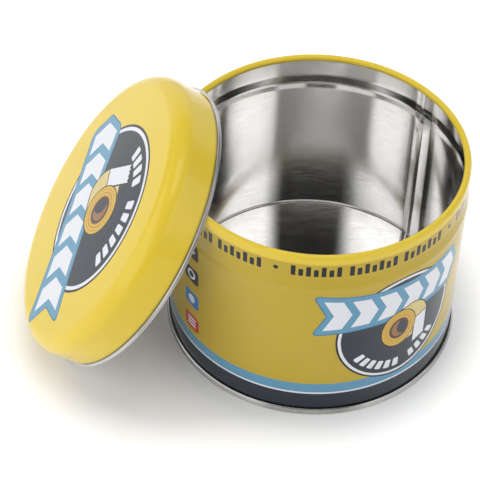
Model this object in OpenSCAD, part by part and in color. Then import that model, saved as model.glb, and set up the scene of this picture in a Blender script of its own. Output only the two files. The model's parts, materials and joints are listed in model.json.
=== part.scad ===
// Round steel tin with a slip-on lid. The lid is off and leans on the rim of the open tin.
// Millimetres, +Z up. The origin is the centre of the tin's standing ring, on the ground.
// The lid leans along -X, so the plane Y = 0 cuts both pieces in half.

/* [Body] */
// Outside diameter of the body's wall
body_d = 127; // [110:1:140]
// Height of the body, standing ring to top of the rim
body_h = 94.5; // [85:0.5:110]
// Thickness of the tinplate sheet that every piece is made from
sheet_t = 0.3; // [0.25:0.01:0.35]

/* [Neck and rim] */
// How far the neck steps in from the wall, on the radius
neck_step = 0.5; // [0.4:0.1:1]
// Height of the straight neck that the lid slides onto, rim included
neck_len = 11.5; // [11:0.5:16]
// Height of the sloping shoulder below the neck
shoulder_len = 6; // [3:0.5:7]
// How far the ridge at the foot of the shoulder stands out from the wall
ridge_rise = 0.2; // [0.1:0.05:0.3]
// Diameter of the rim, where the sheet's edge is curled inwards
rim_d = 3; // [2.6:0.1:3.4]

/* [Side seam] */
// Direction of the folded side seam, seen from the tin's axis
side_seam_az = 36.5; // [0:0.5:359.5]
// Width of the folded side seam around the wall, in degrees
side_seam_deg = 8.5; // [4:0.5:10]
// How far the folds stand in from the wall
side_seam_t = 0.6; // [0.5:0.05:0.8]
// Width of the slit that the seam leaves in the rim
rim_slit_w = 0.4; // [0.3:0.1:0.8]

/* [Bottom end] */
// Height of the double seam that joins the bottom to the body
base_seam_h = 3; // [2.8:0.1:3.4]
// How far the bottom's panel is recessed above the standing ring
recess_h = 3; // [2.8:0.1:5]
// Gap between the folded layers of the double seam
fold_gap = 0.15; // [0.1:0.01:0.2]
// Rounding of the double seam's outer edges
base_seam_round = 0.55; // [0.3:0.05:0.7]

/* [Lid] */
// Height of the lid at its edge, without the crown of its panel
lid_h = 20.3; // [18:0.1:24]
// Gap between the neck and the lid's skirt, on the radius
lid_gap = 0.5; // [0.3:0.1:0.8]
// Radius of the rounded corner between skirt and panel
corner_r = 7.5; // [4:0.5:9]
// Height of the panel's shallow crown
crown_h = 0.5; // [0.2:0.1:1.5]
// Diameter of the hem, where the skirt's edge is curled outwards
hem_d = 1.5; // [1.3:0.1:1.7]

/* [Leaning lid] */
// Angle between the lid's panel and the vertical
lean = 35; // [34:0.5:36]
// Gap left between the lid's hem and the tin's rim where they meet
lean_gap = 0.3; // [0.2:0.05:0.5]

/* [Colours] */
// Printed outside of the body and lid
print_color = "gold";
// Bare tinplate
plate_color = "silver";

/* [Hidden] */

$fn = 180;
body_r = body_d / 2;
neck_r = body_r - neck_step;
ridge_r = body_r + ridge_rise;
rim_r = rim_d / 2;
hem_r = hem_d / 2;

// Heights along the wall, from the rim down
shoulder_top = body_h - neck_len;
shoulder_foot = shoulder_top - shoulder_len;
ridge_foot = shoulder_foot - shoulder_len / 2;

// Radii of the double seam's layers, from the body's wall outwards
cover_hook_r = body_r + fold_gap;
body_hook_r = cover_hook_r + sheet_t + fold_gap;
seam_wall_r = body_hook_r + sheet_t + fold_gap;
base_seam_r = seam_wall_r + sheet_t;
chuck_wall_r = body_r - sheet_t - fold_gap;

// The lid's sheet
skirt_r = neck_r + lid_gap;
skirt_out_r = skirt_r + sheet_t;
hem_ring_r = skirt_r + hem_r;
panel_r = skirt_out_r - corner_r;

curve_steps = 10;
// Length of the short straight run over the crest of the ridge
bend_len = 0.1;
// Part of a slope's length that is rounded, at each end
bend_part = 0.2;
// Overlap of a cutting shape past the surface that it cuts
cut = 1;

// Rise from 0 to 1 in a straight slope with rounded ends
function slope(u) =
    u < bend_part ? u * u / (2 * bend_part * (1 - bend_part)) :
    u > 1 - bend_part ? 1 - (1 - u) * (1 - u) / (2 * bend_part * (1 - bend_part)) :
    (u - bend_part / 2) / (1 - bend_part);

function steps(from, to) = [for (i = [0:curve_steps]) from + (to - from) * i / curve_steps];

function reversed(list) = [for (i = [len(list) - 1:-1:0]) list[i]];

// Outside radius of the body's wall at height z
function wall_r(z) =
    z >= shoulder_top ? neck_r :
    z >= shoulder_foot ? neck_r + (ridge_r - neck_r) * slope((shoulder_top - z) / shoulder_len) :
    z >= ridge_foot ? body_r + ridge_rise * slope((z - ridge_foot) / (shoulder_foot - ridge_foot)) :
    body_r;

// Heights at which the wall's section is drawn, between two ends
function wall_heights(low, high) = concat(
    [low], steps(ridge_foot, shoulder_foot - bend_len), steps(shoulder_foot, shoulder_top), [high]);

// Points of the wall's section, set in from its outside by a depth
function wall_line(low, high, depth) = [for (z = wall_heights(low, high)) [wall_r(z) - depth, z]];

// Strip of sheet that follows the wall, between two depths below its outside
module wall_strip(low, high, outer_depth, inner_depth) {
    polygon(concat(
        wall_line(low, high, outer_depth),
        reversed(wall_line(low, high, inner_depth))));
}

// Rectangle from one corner to the other
module bar(low, high) {
    translate(low) square(high - low);
}

// Sheet curled into an open ring: a tube's section, without the wedge between two angles
module curl(radius, from, to) {
    difference() {
        circle(radius);
        circle(radius - sheet_t);
        polygon([[0, 0],
            2 * radius * [cos(from), sin(from)],
            2.5 * radius * [cos((from + to) / 2), sin((from + to) / 2)],
            2 * radius * [cos(to), sin(to)]]);
    }
}

// Section of the body's sheet: hook, wall, shoulder, neck and rim
module body_section() {
    rim_z = body_h - rim_r;
    wall_strip(sheet_t, rim_z, 0, sheet_t);
    bar([body_r - sheet_t, sheet_t], [body_hook_r + sheet_t, 2 * sheet_t]);
    bar([body_hook_r, sheet_t], [body_hook_r + sheet_t, base_seam_h - 2 * sheet_t]);
    translate([neck_r - rim_r, rim_z]) curl(rim_r, 300, 359);
}

module body_shell() {
    seam_low = recess_h + 3 * sheet_t;
    seam_high = body_h - rim_d;
    color(print_color) difference() {
        union() {
            rotate_extrude() body_section();
            rotate([0, 0, side_seam_az - side_seam_deg / 2])
                rotate_extrude(angle = side_seam_deg)
                    wall_strip(seam_low, seam_high, sheet_t / 2, sheet_t + side_seam_t);
        }
        rotate([0, 0, side_seam_az])
            translate([neck_r - rim_d - cut, -rim_slit_w / 2, body_h - rim_r])
                cube([rim_d + 2 * cut, rim_slit_w, rim_r + cut]);
    }
}

// Outline of the double seam, with its outer edges rounded
module base_seam_outline() {
    edge_r = base_seam_r - base_seam_round;
    bar([chuck_wall_r - sheet_t, 0], [edge_r, base_seam_h]);
    bar([edge_r, base_seam_round], [base_seam_r, base_seam_h - base_seam_round]);
    for (z = [base_seam_round, base_seam_h - base_seam_round])
        translate([edge_r, z]) circle(base_seam_round);
}

// Section of the bottom: flat panel, chuck wall, standing ring, seam wall and cover hook
module bottom_section() {
    bar([0, recess_h], [chuck_wall_r, recess_h + sheet_t]);
    difference() {
        base_seam_outline();
        bar([chuck_wall_r, sheet_t], [cover_hook_r, base_seam_h + cut]);
        bar([chuck_wall_r, sheet_t], [seam_wall_r, 3 * sheet_t]);
        bar([cover_hook_r + sheet_t, sheet_t], [seam_wall_r, base_seam_h - sheet_t]);
    }
}

module bottom_end() {
    color(plate_color) rotate_extrude() bottom_section();
}

// Height of the lid panel's outside at a radius, with its crown
function panel_z(r) = lid_h + crown_h * (1 - pow(r / panel_r, 2));

// Quarter circle of the lid's corner, from the skirt to the panel
function corner_line(radius) = [for (a = steps(0, 90))
    [panel_r + radius * cos(a), lid_h - corner_r + radius * sin(a)]];

// The panel's crown, from the corner to the axis
function crown_line(depth) = [for (r = steps(panel_r, 0)) [r, panel_z(r) - depth]];

// Section of the lid's sheet: hem, skirt, corner and panel
module lid_section() {
    polygon(concat(
        [[skirt_out_r, hem_r]], corner_line(corner_r), crown_line(0),
        reversed(crown_line(sheet_t)), reversed(corner_line(corner_r - sheet_t)), [[skirt_r, hem_r]]));
    translate([hem_ring_r, hem_r]) curl(hem_r, 100, 179);
}

// How far a ring tilted with the lid comes to the rim's ring, less their two curls
function hem_clearance(reach) = min([for (a = [10:0.5:90])
    let (out = hem_ring_r * sin(a) * sin(lean) - hem_r * cos(lean) - reach,
         side = hem_ring_r * cos(a),
         up = hem_centre_z + hem_r * sin(lean) + hem_ring_r * sin(a) * cos(lean))
    norm([norm([out, side]) - (neck_r - rim_r), up - (body_h - rim_r)]) - rim_r - hem_r]);

// Distance of the lid from the tin's axis at which the hem is lean_gap short of the rim
function lid_reach_between(low, high, turns) =
    let (middle = (low + high) / 2)
    turns == 0 ? middle :
    hem_clearance(middle) > lean_gap ? lid_reach_between(low, middle, turns - 1) :
    lid_reach_between(middle, high, turns - 1);

// The hem's lowest point is on the ground
hem_centre_z = hem_ring_r * cos(lean) + hem_r * (1 - sin(lean));
lid_reach = lid_reach_between(1.15 * body_r, 1.4 * body_r, 20);

module lid_shell() {
    color(print_color)
        translate([-lid_reach, 0, hem_centre_z]) rotate([0, lean - 90, 0])
            rotate_extrude() lid_section();
}

body_shell();
bottom_end();
lid_shell();
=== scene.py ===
"""Round printed tin with its slip-on lid off and leaning on the rim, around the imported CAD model.

Blender lengths are metres. Sections and printed patterns are laid out in millimetres and scaled by MM.
Azimuths are degrees round the tin's axis from +X, and the lid leans along -X.
"""

import json
import math

import bpy
from mathutils import Matrix, Vector


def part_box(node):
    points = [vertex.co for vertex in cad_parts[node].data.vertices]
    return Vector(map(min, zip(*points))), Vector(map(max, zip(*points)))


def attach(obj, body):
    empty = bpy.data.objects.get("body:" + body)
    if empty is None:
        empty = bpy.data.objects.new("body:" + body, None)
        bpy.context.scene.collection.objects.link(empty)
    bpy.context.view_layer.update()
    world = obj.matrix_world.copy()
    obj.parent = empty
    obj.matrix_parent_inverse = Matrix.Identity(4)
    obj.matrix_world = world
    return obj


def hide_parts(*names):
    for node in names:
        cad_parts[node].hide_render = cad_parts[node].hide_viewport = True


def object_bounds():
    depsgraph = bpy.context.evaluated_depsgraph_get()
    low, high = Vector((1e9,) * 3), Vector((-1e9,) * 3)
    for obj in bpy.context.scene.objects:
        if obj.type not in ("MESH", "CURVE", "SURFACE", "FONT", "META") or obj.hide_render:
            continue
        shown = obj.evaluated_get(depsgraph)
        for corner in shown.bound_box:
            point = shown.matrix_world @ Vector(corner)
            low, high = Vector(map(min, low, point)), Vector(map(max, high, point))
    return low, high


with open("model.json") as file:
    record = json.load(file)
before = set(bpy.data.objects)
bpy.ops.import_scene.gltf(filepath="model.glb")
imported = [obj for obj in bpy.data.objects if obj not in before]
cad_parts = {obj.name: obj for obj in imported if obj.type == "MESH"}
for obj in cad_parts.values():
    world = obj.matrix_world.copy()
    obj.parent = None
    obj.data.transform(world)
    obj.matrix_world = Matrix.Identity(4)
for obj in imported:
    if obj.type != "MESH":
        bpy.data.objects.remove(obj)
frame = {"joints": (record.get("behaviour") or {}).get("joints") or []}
cad_low, cad_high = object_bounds()

MM = 0.001
TINY = 1e-6

# ---------------------------------------------------------------- sizes, in millimetres

# Sheet, folds and bends, which the boxes of the frame don't give
SHEET = 0.3
INK = 0.05
FOLD_GAP = 0.15
NECK_STEP = 0.5
RIDGE_RISE = 0.2
RIM_R = 1.5
NECK_LEN = 11.5
SHOULDER_LEN = 6.0
CORNER_R = 7.5
CROWN_H = 0.5
HEM_R = 0.75
LID_H = 20.3
SIDE_SEAM_AZ = 36.5

# The tin, from the frame
body_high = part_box("body_shell")[1] / MM
end_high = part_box("bottom_end")[1] / MM
BODY_R = body_high.x - 2 * (SHEET + FOLD_GAP)
BODY_H = body_high.z
NECK_R = BODY_R - NECK_STEP
SHOULDER_TOP = BODY_H - NECK_LEN
SHOULDER_FOOT = SHOULDER_TOP - SHOULDER_LEN
RIDGE_FOOT = SHOULDER_FOOT - SHOULDER_LEN / 2
RIM_Z = BODY_H - RIM_R
RIM_RING_R = NECK_R - RIM_R
SEAM_R = end_high.x
SEAM_H = end_high.z - SHEET
PANEL_TOP = end_high.z
CHUCK_R = BODY_R - SHEET - FOLD_GAP

# The lid, and how it leans, from the frame
lid_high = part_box("lid_shell")[1] / MM
lid_axis = Vector(frame["joints"][0]["axis"]).normalized()
LEAN = math.asin(lid_axis.z)
HEM_RING_R = lid_high.y - HEM_R
SKIRT_R = HEM_RING_R - HEM_R
SKIRT_OUT_R = SKIRT_R + SHEET
PANEL_R = SKIRT_OUT_R - CORNER_R
LID_REACH = HEM_RING_R * math.sin(LEAN) - HEM_R * math.cos(LEAN) + HEM_R - lid_high.x
HEM_CENTRE_Z = HEM_RING_R * math.cos(LEAN) + HEM_R * (1 - math.sin(LEAN))


# ---------------------------------------------------------------- meshes of revolution

# Name of the points' attribute that holds their place on the piece
PLACE = "place"
# A piece's middle is closed by a flat disc of this radius
CENTRE_R = 0.5
# Part of a slope's length that is rounded, at each end
BEND_PART = 0.2
SHARP_ANGLE = 40
# Degrees between the columns of a mesh
TURN_STEP = 1.5


def clamp(u):
    return min(max(u, 0.0), 1.0)


def ease(u):
    """Smooth step from 0 to 1."""
    return (1 - math.cos(math.pi * clamp(u))) / 2


def slope(u):
    """Rise from 0 to 1 in a straight slope with rounded ends."""
    u = clamp(u)
    rounding = 2 * BEND_PART * (1 - BEND_PART)
    if u < BEND_PART:
        return u * u / rounding
    if u > 1 - BEND_PART:
        return 1 - (1 - u) ** 2 / rounding
    return (u - BEND_PART / 2) / (1 - BEND_PART)


def spaced(start, end, count):
    """count + 1 values from start to end."""
    return [start + (end - start) * i / count for i in range(count + 1)]


def arc(centre_r, centre_z, radius, start, end, count):
    """Points of an arc in a section, between two angles in degrees from the outward direction."""
    return [
        (centre_r + radius * math.cos(math.radians(a)), centre_z + radius * math.sin(math.radians(a)))
        for a in spaced(start, end, count)
    ]


def columns(start, end, step, fine_centre=None, fine_half=0.0, fine_step=1.0):
    """Azimuths in degrees from start to end, closer together round fine_centre."""
    found = []
    az = start
    while az < end - TINY:
        found.append(az)
        near = fine_centre is not None and abs(az + TINY - fine_centre) < fine_half
        az += fine_step if near else step
    found.append(end)
    return found


def revolve(name, section, azimuths, material, shape=None, stand=Matrix.Identity(4)):
    """Sweeps a closed section of (r, z) points round the Z axis, then stands it in place.

    The section runs up the outside and back down the inside, so that faces point outwards. A full turn
    closes on itself, and a part turn gets end caps. Points at CENTRE_R close the piece's middle.
    shape(point index, r, z, azimuth) moves a point, and returns its r, z and azimuth. The points keep
    their place before standing, in millimetres, for the materials.
    """
    full = abs(azimuths[-1] - azimuths[0] - 360) < TINY
    around = azimuths[:-1] if full else azimuths
    verts, faces = [], []
    for az in around:
        for i, (r, z) in enumerate(section):
            pr, pz, pa = shape(i, r, z, az) if shape else (r, z, az)
            a = math.radians(pa)
            verts.append(Vector((pr * math.cos(a), pr * math.sin(a), pz)))
    n, m = len(section), len(around)
    for i in range(n):
        h = (i + 1) % n
        if max(section[i][0], section[h][0]) < CENTRE_R + TINY:
            faces.append(tuple(j * n + i for j in range(m)))
            faces.append(tuple(j * n + h for j in reversed(range(m))))
            continue
        for j in range(m if full else m - 1):
            k = (j + 1) % m
            faces.append((j * n + i, k * n + i, k * n + h, j * n + h))
    if not full:
        faces.append(tuple(range(n)))
        faces.append(tuple((m - 1) * n + i for i in reversed(range(n))))
    mesh = bpy.data.meshes.new(name)
    mesh.from_pydata([stand @ (v * MM) for v in verts], [], faces)
    place = mesh.attributes.new(PLACE, "FLOAT_VECTOR", "POINT")
    place.data.foreach_set("vector", [c for v in verts for c in v])
    mesh.materials.append(material)
    mesh.shade_smooth()
    mesh.set_sharp_from_angle(angle=math.radians(SHARP_ANGLE))
    piece = bpy.data.objects.new(name, mesh)
    bpy.context.scene.collection.objects.link(piece)
    return piece


def between(line_out, line_in):
    """A closed section from an outer line and the inner line that runs back beside it."""
    return line_out + line_in[::-1]


# ---------------------------------------------------------------- shader fields


class Field:
    """A number that shader nodes work out at every point of a surface."""

    def __init__(self, tree, socket):
        self.tree = tree
        self.socket = socket

    def math(self, operation, *others):
        node = self.tree.nodes.new("ShaderNodeMath")
        node.operation = operation
        for socket, value in zip(node.inputs, (self, *others)):
            if isinstance(value, Field):
                self.tree.links.new(value.socket, socket)
            else:
                socket.default_value = value
        return Field(self.tree, node.outputs[0])

    def __add__(self, other):
        return self.math("ADD", other)

    def __sub__(self, other):
        return self.math("SUBTRACT", other)

    def __mul__(self, other):
        return self.math("MULTIPLY", other)

    def __neg__(self):
        return self.math("MULTIPLY", -1.0)

    def __abs__(self):
        return self.math("ABSOLUTE")

    def above(self, other):
        """The larger of the two."""
        return self.math("MAXIMUM", other)

    def below(self, other):
        """The smaller of the two."""
        return self.math("MINIMUM", other)

    def repeat(self, period):
        """Runs from -period / 2 to period / 2, over and over."""
        return self.math("WRAP", period / 2, -period / 2)

    def cell(self, period):
        """Whole number of the repeat that a point is in, 0 about the origin."""
        return self.math("ADD", period / 2).math("DIVIDE", period).math("FLOOR")

    def clamp(self):
        return self.above(0.0).below(1.0)


def length(u, v):
    return (u * u + v * v).math("SQRT")


def box_distance(u, v, half_w, half_h, corner):
    """Distance outside a rounded box about the origin, negative within its rounding."""
    across = (abs(u) - (half_w - corner)).above(0.0)
    up = (abs(v) - (half_h - corner)).above(0.0)
    return length(across, up) - corner


class Layers:
    """Colours laid over one another on a ground colour."""

    # Width of the blend at a shape's edge, in millimetres
    SOFT_EDGE = 0.14

    def __init__(self, tree, ground):
        node = tree.nodes.new("ShaderNodeRGB")
        node.outputs[0].default_value = (*ground, 1.0)
        self.tree = tree
        self.color = node.outputs[0]

    def mix(self, over, share):
        """Lays a colour over the rest, as far as share says."""
        node = self.tree.nodes.new("ShaderNodeMix")
        node.data_type = "RGBA"
        self.tree.links.new(share.socket, node.inputs["Factor"])
        self.tree.links.new(self.color, node.inputs[6])
        node.inputs[7].default_value = (*over, 1.0)
        self.color = node.outputs[2]

    def ink(self, over, distance):
        """Covers the shape where distance, in millimetres, is negative."""
        self.mix(over, (distance * (-1.0 / self.SOFT_EDGE) + 0.5).clamp())


# ---------------------------------------------------------------- the print


def linear(x):
    """Linear value of an sRGB one given from 0 to 255."""
    c = x / 255
    return c / 12.92 if c <= 0.04045 else ((c + 0.055) / 1.055) ** 2.4


def srgb(red, green, blue):
    return tuple(linear(x) for x in (red, green, blue))


LID_YELLOW = srgb(229, 200, 63)
# The body's yellow is a darker copy of the lid's, as painted shade on the tin's wall
SHADED_BODY_YELLOW = srgb(191, 164, 42)
SKY = srgb(94, 152, 184)
SKY_EDGE = srgb(58, 112, 150)
NAVY = srgb(32, 42, 54)
BLACK = srgb(16, 15, 16)
WHITE = srgb(228, 230, 236)
CREAM = srgb(216, 196, 128)
GOLD = srgb(214, 172, 52)
TAN = srgb(150, 104, 62)
UMBER = srgb(70, 42, 34)
RED = srgb(186, 40, 34)
BLUE = srgb(52, 122, 196)


def ringed_disc(ink, u, v):
    """The badge's disc, with a row of plain dashes in two groups along its lower edge."""
    disc_r, ring_w, outline_w = 28.0, 1.3, 0.9
    out = length(u, v)
    ink.ink(BLACK, out - (disc_r + ring_w / 2 + outline_w))
    ink.ink(WHITE, out - (disc_r + ring_w / 2))
    ink.ink(NAVY, out - (disc_r - ring_w / 2))

    dash_r, dash_step, dash_half_w, dash_half_h, dash_corner = 22.6, 10.6, 1.4, 2.4, 0.6
    dash_middle, dash_count = -92.5, 11
    degree = math.radians(dash_r)
    turn = (v.math("ARCTAN2", u) - math.radians(dash_middle)) * (180 / math.pi)
    turn = turn.repeat(360.0)
    along = turn.repeat(dash_step) * degree
    dash = box_distance(along, out - dash_r, dash_half_w, dash_half_h, dash_corner)
    ends = (abs(turn) - dash_count * dash_step / 2) * degree
    in_gap = -abs(turn - dash_step) + dash_step / 2
    ink.ink(WHITE, dash.above(ends).above(in_gap * degree))


def chevron_ribbon(ink, u, v):
    """Ribbon of chevrons across the badge, taller towards its ends."""
    ribbon_u, ribbon_v, step, chevrons = -1.0, 15.6, 11.2, 6
    chevron_half_w, point, middle_half_h, flare = 3.8, 0.5, 7.0, 0.0014
    border_w, edge_w = 2.4, 0.5
    square_on = 1 / math.hypot(1, point)
    ru = u - ribbon_u
    rv = abs(v - ribbon_v)
    above_edge = rv - (ru * ru * flare + middle_half_h)
    slide = ru + (rv - middle_half_h / 2) * point
    band = (abs((slide + step / 2).repeat(step)) - chevron_half_w) * square_on
    past_end = abs(slide) - chevrons * step / 2
    ribbon_end = (past_end + (step / 2 - chevron_half_w)) * square_on
    ribbon = length(ribbon_end.above(0.0), above_edge.above(0.0))
    ink.ink(SKY_EDGE, ribbon - (border_w + edge_w))
    ink.ink(SKY, ribbon - border_w)
    ink.ink(WHITE, band.above(above_edge).above(past_end))


def tape_roll(ink, u, v):
    """Roll of tape seen a little from the side, with its loose end hanging down."""
    roll_u, roll_v, roll_r, core_r, squeeze = -1.0, -1.4, 10.2, 4.6, 0.82
    tape_w, tape_up, loose, overlap = 6.4, 1.6, 14.0, 1.0
    tooth_w, tooth_slope = 1.6, 0.9
    tape_line, roll_line = 0.6, 0.5
    winding_step, winding_half_w, rim_w, core_w, core_depth = 1.5, 0.16, 1.2, 1.2, 0.4

    # The tread behind the roll's face
    su = (u - roll_u) * (1 / squeeze)
    sv = v - roll_v
    back_u = tape_w / squeeze
    share = ((su * back_u + sv * tape_up) * (1 / (back_u**2 + tape_up**2))).clamp()
    tread = length(su - share * back_u, sv - share * tape_up) - roll_r
    ink.ink(BLACK, tread - tape_line)
    ink.ink(CREAM, tread)

    # The loose end, torn to teeth
    tu = u - (roll_u + roll_r * squeeze + tape_w / 2)
    tv = sv - (tu + tape_w / 2) * (tape_up / tape_w)
    teeth = abs(tu.repeat(tooth_w)) * tooth_slope
    tail = (abs(tu) - tape_w / 2).above(tv - overlap).above(teeth - tv - loose)
    ink.ink(BLACK, tail - tape_line)
    ink.ink(WHITE, tail)

    # The face, its windings and its core
    ring = length(su, sv)
    ink.ink(BLACK, ring - (roll_r + roll_line))
    ink.ink(GOLD, ring - roll_r)
    winding = (abs(ring.repeat(winding_step)) - winding_half_w).above(ring - (roll_r - rim_w))
    ink.ink(TAN, winding)
    ink.ink(UMBER, ring - (core_r + core_w))
    ink.ink(TAN, ring - core_r)
    far_side = length(su - back_u * core_depth, sv - tape_up * core_depth) - core_r
    ink.ink(NAVY, far_side.above(ring - core_r))


def badge(ink, u, v):
    """Round badge about the origin: a ringed disc, a ribbon of chevrons across it, and a roll of tape."""
    ringed_disc(ink, u, v)
    chevron_ribbon(ink, u, v)
    tape_roll(ink, u, v)


def bands(ink, z):
    """Stripes round the foot of the body, each up to its own height."""
    for top, color in ((19.0, SKY), (13.5, WHITE), (12.5, NAVY), (3.7, BLACK)):
        ink.ink(color, z - top)


def neck_row(ink, az, z):
    """Row round the neck, five times over: three groups of ticks, tall and short by turns, then a dot."""
    turns, groups, group, gap, dot_az, dot_r = 72.0, 3, 19.3, 2.0, -110.7, 1.05
    foot_z, tick_step, tick_half_w, low_half_h, high_half_h, soft = 84.0, 3.05, 0.95, 1.95, 2.7, 0.4
    degree = NECK_R * math.pi / 180
    start = (az - dot_az).repeat(turns)
    ink.ink(BLACK, length(start * degree, z - (foot_z + high_half_h)) - dot_r)
    group_step = group + gap
    middle = (start + turns / 2).repeat(turns)
    in_group = middle.repeat(group_step) * degree
    tick = in_group.repeat(tick_step)
    high = abs(in_group.cell(tick_step).repeat(2.0))
    half_h = high * (high_half_h - low_half_h) + low_half_h
    across = (abs(tick) - (tick_half_w - soft)).above(0.0)
    up = (abs(z - half_h - foot_z) - half_h + soft).above(0.0)
    row_ends = abs(middle) * degree - groups / 2 * group_step * degree
    ends = (abs(in_group) - group * degree / 2).above(row_ends)
    ink.ink(BLACK, (length(across, up) - soft).above(ends))


def picture_signs(ink, s, z):
    """Column of four plain rounded squares, each with its own simple figure."""
    half_w, half_h, corner = 5.0, 4.3, 1.6
    diamond_r, ring_r, ring_half_w, dot_r = 2.8, 2.2, 0.55, 2.3
    bars, bar_step, bar_half_w, bar_half_h, bar_corner = 3, 2.0, 3.0, 0.5, 0.3
    signs = ((70.5, BLACK, "diamond"), (56.0, NAVY, "ring"), (41.0, BLUE, "dot"), (26.5, RED, "bars"))
    for middle, ground, figure in signs:
        v = z - middle
        ink.ink(ground, box_distance(s, v, half_w, half_h, corner))
        if figure == "diamond":
            shape = abs(s) + abs(v) - diamond_r
        elif figure == "ring":
            shape = abs(length(s, v) - ring_r) - ring_half_w
        elif figure == "dot":
            shape = length(s, v) - dot_r
        else:
            bar = box_distance(s, v.repeat(bar_step), bar_half_w, bar_half_h, bar_corner)
            shape = bar.above(abs(v) - bars / 2 * bar_step)
        ink.ink(WHITE, shape)


BADGE_AZ = -60.5
BADGE_Z = 45.7
SIGNS_AZ = -149.3


def body_artwork(ink, x, y, z):
    """The body's print, in a yellow darker than the lid's as painted shade. The rim has the lid's lighter
    yellow, as painted light, and the badge is on opposite sides.
    """
    az = y.math("ARCTAN2", x) * (180 / math.pi)
    degree = BODY_R * math.pi / 180
    # Painted light: the rim takes the lid's lighter yellow above the shaded wall
    ink.mix(LID_YELLOW, (z - (RIM_Z - 2 * RIM_R)).clamp())
    bands(ink, z)
    neck_row(ink, az, z)
    picture_signs(ink, (az - SIGNS_AZ) * degree, z)
    badge(ink, (az - BADGE_AZ).repeat(180.0) * degree, z - BADGE_Z)


LID_BADGE_SCALE = 1.3
LID_BADGE_AT = (4.1, 4.3)
LID_BADGE_TURN = 144.0
# Painted shade in the fold above the hem: how far up the print it reaches, how much of the print it covers,
# and its colour
HEM_SHADE_REACH, HEM_SHADE_SHARE = 1.2, 0.8
HEM_SHADE = (0.10, 0.075, 0.02)


def lid_artwork(ink, x, y, z):
    """The lid's print: one larger badge, and painted shade in the fold along the hem."""
    turn = math.radians(LID_BADGE_TURN)
    right = -y - LID_BADGE_AT[0]
    up = x - LID_BADGE_AT[1]
    size = 1 / LID_BADGE_SCALE
    u = right * (math.cos(turn) * size) + up * (math.sin(turn) * size)
    v = right * (-math.sin(turn) * size) + up * (math.cos(turn) * size)
    badge(ink, u, v)
    # Painted shade: the print darkens in the fold just above the hem
    ink.mix(HEM_SHADE, (-z + 2 * HEM_R + HEM_SHADE_REACH).clamp() * HEM_SHADE_SHARE)


# ---------------------------------------------------------------- materials


def new_material(name):
    material = bpy.data.materials.new(name)
    material.use_nodes = True
    tree = material.node_tree
    return material, tree, tree.nodes["Principled BSDF"]


def own_place(tree):
    """The piece's own coordinates in millimetres, with its axis along Z."""
    node = tree.nodes.new("ShaderNodeAttribute")
    node.attribute_name = PLACE
    return node.outputs["Vector"]


def own_xyz(tree):
    split = tree.nodes.new("ShaderNodeSeparateXYZ")
    tree.links.new(own_place(tree), split.inputs[0])
    return [Field(tree, out) for out in split.outputs]


def noise(tree, cells, detail=3.0):
    """Noise from 0 to 1 about 0.5, with so many cells a millimetre along each of the piece's own axes."""
    mapping = tree.nodes.new("ShaderNodeMapping")
    mapping.inputs["Scale"].default_value = cells
    grain = tree.nodes.new("ShaderNodeTexNoise")
    grain.inputs["Scale"].default_value = 1.0
    grain.inputs["Detail"].default_value = detail
    tree.links.new(own_place(tree), mapping.inputs["Vector"])
    tree.links.new(mapping.outputs["Vector"], grain.inputs["Vector"])
    return Field(tree, grain.outputs["Fac"])


def even(cells):
    return (cells, cells, cells)


def spread(field, low, high):
    """Stretches noise over low to high."""
    return ((field - 0.5) * (2 * (high - low)) + (low + high) / 2).above(low).below(high)


def bump(tree, shader, height, depth):
    """Bump of a height field from 0 to 1, depth in millimetres."""
    node = tree.nodes.new("ShaderNodeBump")
    node.inputs["Distance"].default_value = depth * MM
    tree.links.new(height.socket, node.inputs["Height"])
    tree.links.new(node.outputs["Normal"], shader.inputs["Normal"])


# A little grime in patches, unevenness of the gloss, and ripples in the lacquer: their cells a millimetre
GRIME = (0.05, 0.045, 0.04)
GRIME_CELLS, MOST_GRIME = 0.04, 0.03
GLOSS_CELLS, GLOSS_ROUGHNESS = 0.1, (0.1, 0.16)
RIPPLE_CELLS, RIPPLE_DEPTH = 0.7, 0.0015


def lacquer(name, ground_ink, artwork):
    """Glossy print on tin. artwork(ink, x, y, z) lays the inks on the ground ink."""
    material, tree, shader = new_material(name)
    x, y, z = own_xyz(tree)
    ink = Layers(tree, ground_ink)
    artwork(ink, x, y, z)
    ink.mix(GRIME, spread(noise(tree, even(GRIME_CELLS), detail=2.0), 0.0, MOST_GRIME))
    tree.links.new(ink.color, shader.inputs["Base Color"])
    roughness = spread(noise(tree, even(GLOSS_CELLS)), *GLOSS_ROUGHNESS)
    tree.links.new(roughness.socket, shader.inputs["Roughness"])
    bump(tree, shader, noise(tree, even(RIPPLE_CELLS), detail=1.0), RIPPLE_DEPTH)
    shader.inputs["IOR"].default_value = 1.5
    shader.inputs["Specular IOR Level"].default_value = 0.3
    return material


BRIGHT_TIN = (0.90, 0.895, 0.885)
DULL_TIN = (0.78, 0.77, 0.76)
# Darker tin at the hem and the seam ring: scuffing from handling, and also painted shade
WORN_AND_SHADED_TIN = (0.42, 0.41, 0.40)
# How far the dull colour shows in the dullest streaks, and the worn and shaded one in its least dark patches
MOST_DULL, LEAST_WORN_AND_SHADED = 0.6, 0.6
WORN_ROUGHNESS = 0.15
MOTTLE_CELLS = 0.06
GRAIN_DEPTH = 0.003


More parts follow.
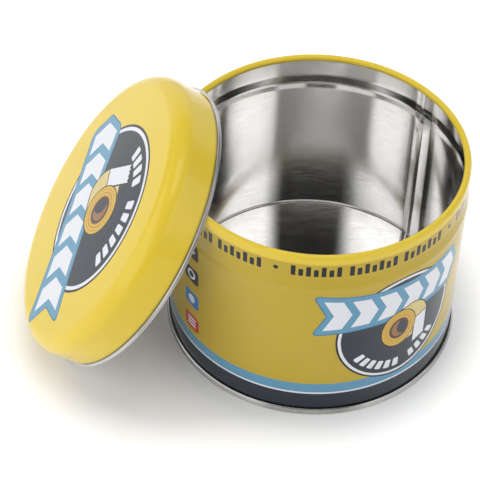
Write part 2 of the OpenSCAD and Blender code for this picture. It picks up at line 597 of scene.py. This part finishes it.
def tinplate(name, grain, streaks, tangent, roughness=(0.05, 0.16), worn_shaded_from=None, painted_shade=1.0):
    """Bare rolled tinplate, with the cells of its grain and streaks for noise().

    Its fine grain runs along one way and spreads reflections across it, and some of its streaks are duller
    than others. Beyond the radius worn_shaded_from it is darker in patches, as scuffing by handling and as
    painted shade. painted_shade darkens all of it, as painted shade.
    than others. Beyond the radius worn_shaded_from it is scuffed by handling. shade darkens it.
    """
    material, tree, shader = new_material(name)
    ridges = noise(tree, grain)
    dulling = noise(tree, streaks)
    mottle = noise(tree, even(MOTTLE_CELLS))
    # painted_shade darkens the whole metal, as painted shade
    metal = Layers(tree, [c * painted_shade for c in BRIGHT_TIN])
    metal.mix([c * painted_shade for c in DULL_TIN], spread(mottle * 0.5 + dulling * 0.5, 0.0, MOST_DULL))
    dullness = spread(dulling, *roughness)
    if worn_shaded_from is not None:
        x, y, z = own_xyz(tree)
        # Wear and painted shade: darker beyond worn_shaded_from, in patches
        worn_and_shaded = (length(x, y) - worn_shaded_from).clamp() * spread(mottle, LEAST_WORN_AND_SHADED, 1.0)
        metal.mix(WORN_AND_SHADED_TIN, worn_and_shaded)
        dullness = dullness + worn_and_shaded * WORN_ROUGHNESS
    tree.links.new(metal.color, shader.inputs["Base Color"])
    shader.inputs["Metallic"].default_value = 1.0
    shader.inputs["Anisotropic"].default_value = 0.9
    tree.links.new(dullness.socket, shader.inputs["Roughness"])
    tree.links.new(tangent(tree), shader.inputs["Tangent"])
    bump(tree, shader, ridges, GRAIN_DEPTH)
    return material


# How far the axis outweighs the piece's own Y in the tangent of a wall
WALL_WEIGHT = 20.0


def across_grain(flat_r, stand=Matrix.Identity(4)):
    """Tangent across the grain, once the piece stands in place: along the piece's own Y where it is flat,
    out to flat_r, and along its axis on the walls beyond."""

    def tangent(tree):
        x, y, z = own_xyz(tree)
        on_wall = (length(x, y) - flat_r).clamp() * WALL_WEIGHT
        join = tree.nodes.new("ShaderNodeCombineXYZ")
        own_y, own_axis = stand.col[1], stand.col[2]
        for i in range(3):
            tree.links.new((on_wall * own_axis[i] + own_y[i]).socket, join.inputs[i])
        return join.outputs[0]

    return tangent


# Cells of the rolled grain and its streaks: round the walls of the body and lid, and along X on the bottom
WALL_CELLS = (0.3, 0.3, 1.6), (0.15, 0.15, 2.6)
BOTTOM_CELLS = (0.3, 1.6, 0.2), (0.15, 2.6, 0.2)


# ---------------------------------------------------------------- the tin's body


def wall_r(z):
    """Outside radius of the body's wall at height z."""
    if z >= SHOULDER_TOP:
        return NECK_R
    if z >= SHOULDER_FOOT:
        return NECK_R + (BODY_R + RIDGE_RISE - NECK_R) * slope((SHOULDER_TOP - z) / SHOULDER_LEN)
    if z >= RIDGE_FOOT:
        return BODY_R + RIDGE_RISE * slope((z - RIDGE_FOOT) / (SHOULDER_FOOT - RIDGE_FOOT))
    return BODY_R


# Foot of the wall's sheet, and the end of its curl in degrees
WALL_LOW = 0.5
CURL_END = 300.0
# The wall's long plain part starts this far above the double seam, and ends this far below the ridge
PLAIN_FROM, PLAIN_TO = 6, 1
# Short straight runs next to the double seam and the shoulder
SHORT_RUN = 1
# Steps of the wall's plain part, ridge, shoulder, neck and curl
BODY_STEPS = 12, 12, 20, 7, 30


def body_line(depth):
    """Points up the wall and round the rim's curl, at a depth below the outside."""
    plain, ridge, shoulder, neck, curl = BODY_STEPS
    heights = [WALL_LOW, SEAM_H, SEAM_H + SHORT_RUN]
    heights += spaced(SEAM_H + PLAIN_FROM, RIDGE_FOOT - PLAIN_TO, plain)
    heights += spaced(RIDGE_FOOT, SHOULDER_FOOT, ridge)
    heights += spaced(SHOULDER_FOOT, SHOULDER_TOP, shoulder)[1:]
    heights += spaced(SHOULDER_TOP + SHORT_RUN, RIM_Z, neck)
    line = [(wall_r(z) - depth, z) for z in heights]
    return line + arc(RIM_RING_R, RIM_Z, RIM_R - depth, 0, CURL_END, curl)[1:]


# How far the side seam's folds stand in from the wall, at degrees from the seam's middle
FOLD_SHAPE = (
    (-6.8, 0.0), (-4.0, 0.05), (-3.6, 0.10), (0.0, 0.58), (0.4, 0.60), (2.2, 0.46),
    (2.35, 0.36), (2.6, 0.46), (4.9, 0.10), (5.2, 0.0),
)  # fmt: skip


def fold_height(offset):
    for (a0, h0), (a1, h1) in zip(FOLD_SHAPE, FOLD_SHAPE[1:]):
        if a0 <= offset <= a1:
            return h0 + (h1 - h0) * (offset - a0) / (a1 - a0)
    return 0.0


# Part of the folds' height that is lost, from how far below the ridge, and over what height
PRESSED, PRESS_FROM, PRESS_OVER = 0.7, 1.2, 2.0
# Part of it that is regained, from how far up the shoulder, and over what height
REGAINED, REGAIN_FROM, REGAIN_OVER = 0.45, 2.0, 2.5
# The folds end over this height under the rim
RIM_OVER = 2.0


def fold_share(z):
    """Part of the folds' height that is left at height z. They are flatter where the neck was rolled in."""
    pressed = ease((z - RIDGE_FOOT + PRESS_FROM) / PRESS_OVER)
    regained = ease((z - SHOULDER_FOOT - REGAIN_FROM) / REGAIN_OVER)
    under_rim = ease((RIM_Z - z) / RIM_OVER)
    return (1 - PRESSED * pressed + REGAINED * regained) * under_rim


# The seam changes the wall this many degrees to each side of it, fading out over the last few
SEAM_REACH, SEAM_FADE = 9, 3
# Points farther in than this from the neck's outside are on the rim's curl
CURL_DEPTH = 1.3
# Degrees by which the seam leans over, up the neck and then back over the top of the curl
NECK_SLANT, RIM_SLANT = -1.5, 3.5
# Depth of the groove along the seam's outside, and half its width in degrees
GROOVE_DEPTH, GROOVE_HALF = 0.22, 0.35


def body_shape(inner_from):
    """Moves points of the body's sections near the side seam. Points from inner_from on are the inside."""

    def shape(i, r, z, az):
        offset = az - SIDE_SEAM_AZ
        offset -= 360 * round(offset / 360)
        if abs(offset) > SEAM_REACH:
            return r, z, az
        near = ease((SEAM_REACH - abs(offset)) / SEAM_FADE)
        on_rim = z > RIM_Z or r < NECK_R - CURL_DEPTH
        if i >= inner_from and not on_rim:
            return r - fold_height(offset) * fold_share(z), z, az
        groove = GROOVE_DEPTH * max(0.0, 1 - abs(offset) / GROOVE_HALF)
        if on_rim:
            turn = math.degrees(math.atan2(z - RIM_Z, r - RIM_RING_R)) % 360
            slant = NECK_SLANT + RIM_SLANT * min(turn, 180) / 180
            scale = 1 - groove / RIM_R if i < inner_from else 1.0
            r = RIM_RING_R + (r - RIM_RING_R) * scale
            z = RIM_Z + (z - RIM_Z) * scale
        else:
            slant = NECK_SLANT * ease((z - SHOULDER_TOP) / NECK_LEN)
            r -= groove
        return r, z, az + slant * near

    return shape


# Half the width in degrees of the bare strip along the seam, where the print's two edges meet
BARE_MARGIN = 0.02
# The columns are closer together this near to the seam, in degrees, in the sheet and in the print
SHEET_FINE_HALF, SHEET_FINE_STEP = 7.5, 0.2
PRINT_FINE, PRINT_FINE_STEPS, PRINT_STEPS = 2, 10, 238

# The body's print is in the shaded yellow, as painted shade
print_material = lacquer("yellow_print", SHADED_BODY_YELLOW, body_artwork)
wall_metal = tinplate("rolled_tinplate", *WALL_CELLS, across_grain(0.0))

outer_line = body_line(INK)
inner_line = body_line(SHEET)
sheet_turns = columns(
    SIDE_SEAM_AZ - 180, SIDE_SEAM_AZ + 180, TURN_STEP, SIDE_SEAM_AZ, SHEET_FINE_HALF, SHEET_FINE_STEP
)
sheet_section = between(outer_line, inner_line)
body_sheet = revolve("body_sheet", sheet_section, sheet_turns, wall_metal, body_shape(len(outer_line)))

print_from, print_to = SIDE_SEAM_AZ + BARE_MARGIN, SIDE_SEAM_AZ + 360 - BARE_MARGIN
plain_from, plain_to = SIDE_SEAM_AZ + PRINT_FINE, SIDE_SEAM_AZ + 360 - PRINT_FINE
print_turns = spaced(print_from, plain_from, PRINT_FINE_STEPS)
print_turns += spaced(plain_from, plain_to, PRINT_STEPS)[1:]
print_turns += spaced(plain_to, print_to, PRINT_FINE_STEPS)[1:]
print_section = between(body_line(0), outer_line)
print_shape = body_shape(len(print_section))
body_print = revolve("body_print", print_section, print_turns, print_material, print_shape)


# ---------------------------------------------------------------- the bottom end


def bottom_section():
    """Panel, chuck wall, standing ring, seam wall and the cover hook that closes over the body's foot.

    The points are listed from the panel's top outwards and back under it, and then reversed, so that faces
    point outwards.
    """
    panel_bend, hook_bend, foot_bend, ring_bend = 0.9, 0.5, 0.6, 0.3
    panel_steps, hook_steps, foot_steps, ring_steps = 8, 6, 8, 4
    seam_floor_z, seam_floor_r = 0.45, BODY_R + 0.3
    hook_r, hook_low, hook_high, hook_bend_r = BODY_R + 0.02, 1.0, SEAM_H - 0.25, SEAM_R - 0.8
    ring_r, ring_bend_r = CHUCK_R + 0.5, CHUCK_R - 0.02

    top = [(CENTRE_R, PANEL_TOP)]
    top += arc(CHUCK_R - panel_bend, PANEL_TOP - panel_bend, panel_bend, 90, 0, panel_steps)
    seam_floor = [(CHUCK_R, seam_floor_z), (seam_floor_r, seam_floor_z)]
    hook = [(hook_r, hook_low), (hook_r, hook_high)]
    hook += arc(hook_bend_r, SEAM_H - hook_bend, hook_bend, 120, 30, hook_steps)
    # The seam's wall is pinched a little at its middle
    pinch = [(SEAM_R - 0.12, SEAM_H - 0.9), (SEAM_R - 0.16, SEAM_H * 0.55), (SEAM_R, SEAM_H * 0.42)]
    foot = arc(SEAM_R - foot_bend, foot_bend, foot_bend, 0, -90, foot_steps)
    ring = [(ring_r, 0.0)] + arc(ring_bend_r, ring_bend, ring_bend, -90, -180, ring_steps)
    under_panel = [(CHUCK_R - SHEET, PANEL_TOP - 2 * SHEET), (CENTRE_R, PANEL_TOP - SHEET)]
    return (top + seam_floor + hook + pinch + foot + ring + under_panel)[::-1]


# The bottom's flat part ends this far short of the chuck wall
FLAT_MARGIN = 1.0

whole_turn = columns(0, 360, TURN_STEP)
end_tangent = across_grain(CHUCK_R - FLAT_MARGIN)
# The seam ring is darker, as wear and as painted shade
end_metal = tinplate("bottom_tinplate", *BOTTOM_CELLS, end_tangent, worn_shaded_from=BODY_R)
bottom = revolve("bottom_disc", bottom_section(), whole_turn, end_metal)


# ---------------------------------------------------------------- the lid

# Steps of the lid's skirt, corner and panel
LID_STEPS = 6, 20, 14
# The hem's curl starts at the skirt's inside, and its inner surface ends short of there, in degrees
HEM_START, HEM_END, HEM_INNER_START = 180, 460, 200
HEM_STEPS = 26, 22


def lid_line(depth):
    """Points up the lid's skirt, round its corner and over the panel, at a depth below the outside."""
    skirt, corner, panel = LID_STEPS
    line = [(SKIRT_OUT_R - depth, h) for h in spaced(HEM_R, LID_H - CORNER_R, skirt)]
    line += arc(PANEL_R, LID_H - CORNER_R, CORNER_R - depth, 0, 90, corner)[1:]
    for r in spaced(PANEL_R, CENTRE_R, panel)[1:]:
        line.append((r, LID_H + CROWN_H * (1 - (r / PANEL_R) ** 2) - depth))
    return line


def lid_sheet_section():
    """The sheet inside the print, and the hem curled outwards from the skirt's edge."""
    outer, inner = HEM_STEPS
    hem_out = arc(HEM_RING_R, HEM_R, HEM_R, HEM_START, HEM_END, outer)[1:]
    hem_in = arc(HEM_RING_R, HEM_R, HEM_R - SHEET, HEM_END, HEM_INNER_START, inner)
    return between(lid_line(INK), lid_line(SHEET)) + hem_out + hem_in


lid_place = Matrix.Translation(Vector((-LID_REACH, 0, HEM_CENTRE_Z)) * MM)
lid_stand = lid_place @ Matrix.Rotation(LEAN - math.pi / 2, 4, "Y")
lid_ink = lacquer("yellow_lid_print", LID_YELLOW, lid_artwork)
# The lid's tinplate is a darker copy of the body's, as painted shade, and its hem is darker still, as wear
# and painted shade
lid_metal = tinplate(
    "lid_tinplate",
    *WALL_CELLS,
    across_grain(PANEL_R, lid_stand),
    roughness=(0.18, 0.3),
    worn_shaded_from=SKIRT_OUT_R,
    painted_shade=0.8,
)
lid_print_section = between(lid_line(0), lid_line(INK))
lid_print = revolve("lid_print", lid_print_section, whole_turn, lid_ink, stand=lid_stand)
lid_sheet = revolve("lid_sheet", lid_sheet_section(), whole_turn, lid_metal, stand=lid_stand)

# The photo's tin doesn't mirror its lid inside, so reflections leave the lid out
for piece in (lid_print, lid_sheet):
    piece.visible_glossy = False


# ---------------------------------------------------------------- what rides on what

for piece in (body_print, body_sheet, bottom):
    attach(piece, "tin")
for piece in (lid_print, lid_sheet):
    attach(piece, "lid")
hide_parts("body_shell")
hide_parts("body_shell")
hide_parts("bottom_end")
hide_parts("lid_shell")
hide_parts("lid_shell")


# ---------------------------------------------------------------- floor, in metres

scene = bpy.context.scene
box_middle, box_half = (cad_low + cad_high) / 2, (cad_high - cad_low) / 2

FLOOR_HALF = 3.0
FLOOR_COLOR = (0.88, 0.875, 0.87, 1.0)
PURE_WHITE = (1.0, 1.0, 1.0, 1.0)
# Weight of the floor's clear coat, and its specular level, where it mirrors
FLOOR_COAT, FLOOR_SPECULAR = 0.8, 0.5
# The floor starts to glow at the first distance outside the object's box, and glows fully at the second,
# so that it stays pale outside the soft shadows
GLOW_FROM, GLOW_TO, GLOW = -0.002, 0.028, 0.5
# That box is this much less than the object's at each end of X, and its corners are rounded by this part of
# half its width
GLOW_SIDE, GLOW_CORNER = 0.008, 0.9
# Reflections leave the lid out, so the floor that it leans over mirrors nothing, over a part of the tin's
# width and with a soft edge
LEAN_WIDTH, LEAN_EDGE = 0.55, 0.03


def flat_mesh(name, half_w, half_h):
    """Rectangle about the origin, facing up."""
    mesh = bpy.data.meshes.new(name)
    corners = ((-1, -1), (1, -1), (1, 1), (-1, 1))
    mesh.from_pydata([(x * half_w, y * half_h, 0) for x, y in corners], [], [(0, 1, 2, 3)])
    return mesh


def split_axes(tree, socket):
    """X and Y of a vector."""
    axes = tree.nodes.new("ShaderNodeSeparateXYZ")
    tree.links.new(socket, axes.inputs[0])
    return Field(tree, axes.outputs["X"]), Field(tree, axes.outputs["Y"])


floor_mesh = flat_mesh("floor", FLOOR_HALF, FLOOR_HALF)
floor = bpy.data.objects.new("floor", floor_mesh)
scene.collection.objects.link(floor)
floor_material, floor_tree, floor_shader = new_material("pale_floor")
floor_shader.inputs["Base Color"].default_value = FLOOR_COLOR
floor_shader.inputs["Roughness"].default_value = 0.3
floor_shader.inputs["Coat IOR"].default_value = 1.6
floor_shader.inputs["Coat Roughness"].default_value = 0.2
floor_shader.inputs["Emission Color"].default_value = PURE_WHITE
position = floor_tree.nodes.new("ShaderNodeNewGeometry").outputs["Position"]
floor_x, floor_y = split_axes(floor_tree, position)

past_x = floor_x - box_middle.x
past_y = floor_y - box_middle.y
away = box_distance(past_x, past_y, box_half.x - GLOW_SIDE, box_half.y, GLOW_CORNER * box_half.y)
glow = ((away - GLOW_FROM) * (1 / (GLOW_TO - GLOW_FROM))).clamp() * GLOW
floor_tree.links.new(glow.socket, floor_shader.inputs["Emission Strength"])

lean_middle = -(BODY_R + LID_REACH) / 2 * MM
lean_half = (LID_REACH - BODY_R) / 2 * MM
outside_lean = box_distance(floor_x - lean_middle, floor_y, lean_half, LEAN_WIDTH * box_half.y, lean_half)
mirror = (outside_lean * (1 / LEAN_EDGE)).clamp()
floor_tree.links.new((mirror * FLOOR_COAT).socket, floor_shader.inputs["Coat Weight"])
floor_tree.links.new((mirror * FLOOR_SPECULAR).socket, floor_shader.inputs["Specular IOR Level"])
floor_mesh.materials.append(floor_material)


# ---------------------------------------------------------------- light, in metres and watts

WORLD_LIGHT = 0.11
# Brightness of the walls round the floor, degrees between their corners, and their heights
WALL_LIGHT, WALL_STEP = 0.92, 10
BACKDROP_H, LOW_WALL_H = 0.95, 0.4

# Name, azimuth, elevation, distance, width, height and power
SOFTBOXES = (
    ("right_softbox", -29, 38, 1.5, 1.33, 1.0, 9),
    ("left_softbox", 198, 33, 1.5, 2.1, 1.3, 18),
    ("top_softbox", 90, 90, 1.6, 1.0, 0.8, 7),
    ("back_softbox", 80, 23, 1.8, 4.4, 1.05, 15),
)

# Name, azimuth, elevation, distance, width, height, width of the soft edge, and brightness
CARDS = (
    ("right_card", -30, 35, 1.5, 1.45, 0.9, 0.25, 1.45),
    ("left_card", 198, 30, 1.5, 2.2, 1.15, 0.3, 1.6),
    ("back_card", 80, 22, 1.8, 4.4, 1.1, 0.1, 1.2),
    ("front_card", -91, 45, 1.4, 1.13, 1.96, 0.3, 0.01),
    ("upper_card", 80, 56, 1.6, 5.0, 1.0, 0.1, 0.3),
    ("top_card", 0, 90, 1.2, 0.6, 0.6, 0.1, 1.8),
)

scene.view_settings.view_transform = "Standard"
world = bpy.data.worlds.new("studio")
world.use_nodes = True
world.node_tree.nodes["Background"].inputs["Color"].default_value = PURE_WHITE
world.node_tree.nodes["Background"].inputs["Strength"].default_value = WORLD_LIGHT
scene.world = world


def facing(azimuth, elevation, distance):
    """Matrix of something at that azimuth and elevation from the object's middle, its -Z towards it."""
    a, e = math.radians(azimuth), math.radians(elevation)
    back = Vector((math.cos(a) * math.cos(e), math.sin(a) * math.cos(e), math.sin(e)))
    turn = (-back).to_track_quat("-Z", "Y").to_matrix().to_4x4()
    return Matrix.Translation(box_middle + back * distance) @ turn


def softbox(name, azimuth, elevation, distance, width, height, power):
    """Light from one side. The cards are what reflections show instead of it."""
    light = bpy.data.lights.new(name, "AREA")
    light.shape = "RECTANGLE"
    light.size = width
    light.size_y = height
    light.energy = power
    lamp = bpy.data.objects.new(name, light)
    lamp.matrix_world = facing(azimuth, elevation, distance)
    lamp.visible_camera = False
    lamp.visible_glossy = False
    scene.collection.objects.link(lamp)


def glowing(name, brightness):
    """Material that glows and does nothing else."""
    material, tree, shader = new_material(name)
    shader.inputs["Base Color"].default_value = (0, 0, 0, 1)
    shader.inputs["Specular IOR Level"].default_value = 0.0
    shader.inputs["Emission Color"].default_value = PURE_WHITE
    shader.inputs["Emission Strength"].default_value = brightness
    return material, tree, shader


def hang(name, mesh, material):
    """Hangs up a cloth that lights nothing and throws no shadow."""
    mesh.materials.append(material)
    cloth = bpy.data.objects.new(name, mesh)
    cloth.visible_diffuse = False
    cloth.visible_shadow = False
    scene.collection.objects.link(cloth)
    return cloth


def card(name, azimuth, elevation, distance, width, height, soft, brightness):
    """Pale or dark cloth that the camera doesn't see. It fades out over its soft edges."""
    half_w, half_h = (width + soft) / 2, (height + soft) / 2
    material, tree, shader = glowing(name, brightness)
    coordinates = tree.nodes.new("ShaderNodeTexCoord")
    x, y = split_axes(tree, coordinates.outputs["Object"])
    across = ((-abs(x) + half_w) * (1 / soft)).clamp()
    up = ((-abs(y) + half_h) * (1 / soft)).clamp()
    tree.links.new((across * up).socket, shader.inputs["Alpha"])
    cloth = hang(name, flat_mesh(name, half_w, half_h), material)
    cloth.matrix_world = facing(azimuth, elevation, distance)
    cloth.visible_camera = False


def wall(name, height, seen_by_camera):
    """Pale wall all round, which either only the camera sees or only reflections show."""
    verts, faces = [], []
    bearings = range(0, 360, WALL_STEP)
    for i, bearing in enumerate(bearings):
        a = math.radians(bearing)
        corner = Vector((math.cos(a), math.sin(a), 0)) * FLOOR_HALF
        verts += [corner, corner + Vector((0, 0, height))]
        here, there = 2 * i, 2 * ((i + 1) % len(bearings))
        faces.append((here, here + 1, there + 1, there))
    mesh = bpy.data.meshes.new(name)
    mesh.from_pydata(verts, [], faces)
    material, tree, shader = glowing(name, WALL_LIGHT)
    cloth = hang(name, mesh, material)
    cloth.visible_camera = seen_by_camera
    cloth.visible_glossy = not seen_by_camera


for row in SOFTBOXES:
    softbox(*row)
for row in CARDS:
    card(*row)
# The camera sees a tall wall. Reflections show a low one, because a tall one makes the bare edges too bright
wall("backdrop", BACKDROP_H, True)
wall("low_wall", LOW_WALL_H, False)


# ---------------------------------------------------------------- camera, in metres

# Place, heading from +Y towards +X, pitch down and roll in degrees, and lens and sensor in millimetres
CAMERA_AT = Vector((-0.0677, -0.5018, 0.5537))
CAMERA_HEADING, CAMERA_PITCH, CAMERA_ROLL = 4.03, 45.48, 1.16
CAMERA_LENS, CAMERA_SENSOR = 123.4, 36.0

yaw, pitch, roll = (math.radians(a) for a in (CAMERA_HEADING, CAMERA_PITCH, CAMERA_ROLL))
forward = Vector((math.sin(yaw) * math.cos(pitch), math.cos(yaw) * math.cos(pitch), -math.sin(pitch)))
level = Vector((math.cos(yaw), -math.sin(yaw), 0))
above = level.cross(forward)
right = math.cos(roll) * level + math.sin(roll) * above
upward = math.cos(roll) * above - math.sin(roll) * level
camera_turn = Matrix((right, upward, -forward)).transposed().to_4x4()
camera_data = bpy.data.cameras.new("camera")
camera_data.sensor_width = CAMERA_SENSOR
camera_data.lens = CAMERA_LENS
camera = bpy.data.objects.new("camera", camera_data)
camera.matrix_world = Matrix.Translation(CAMERA_AT) @ camera_turn
scene.collection.objects.link(camera)
bpy.context.scene.camera = camera
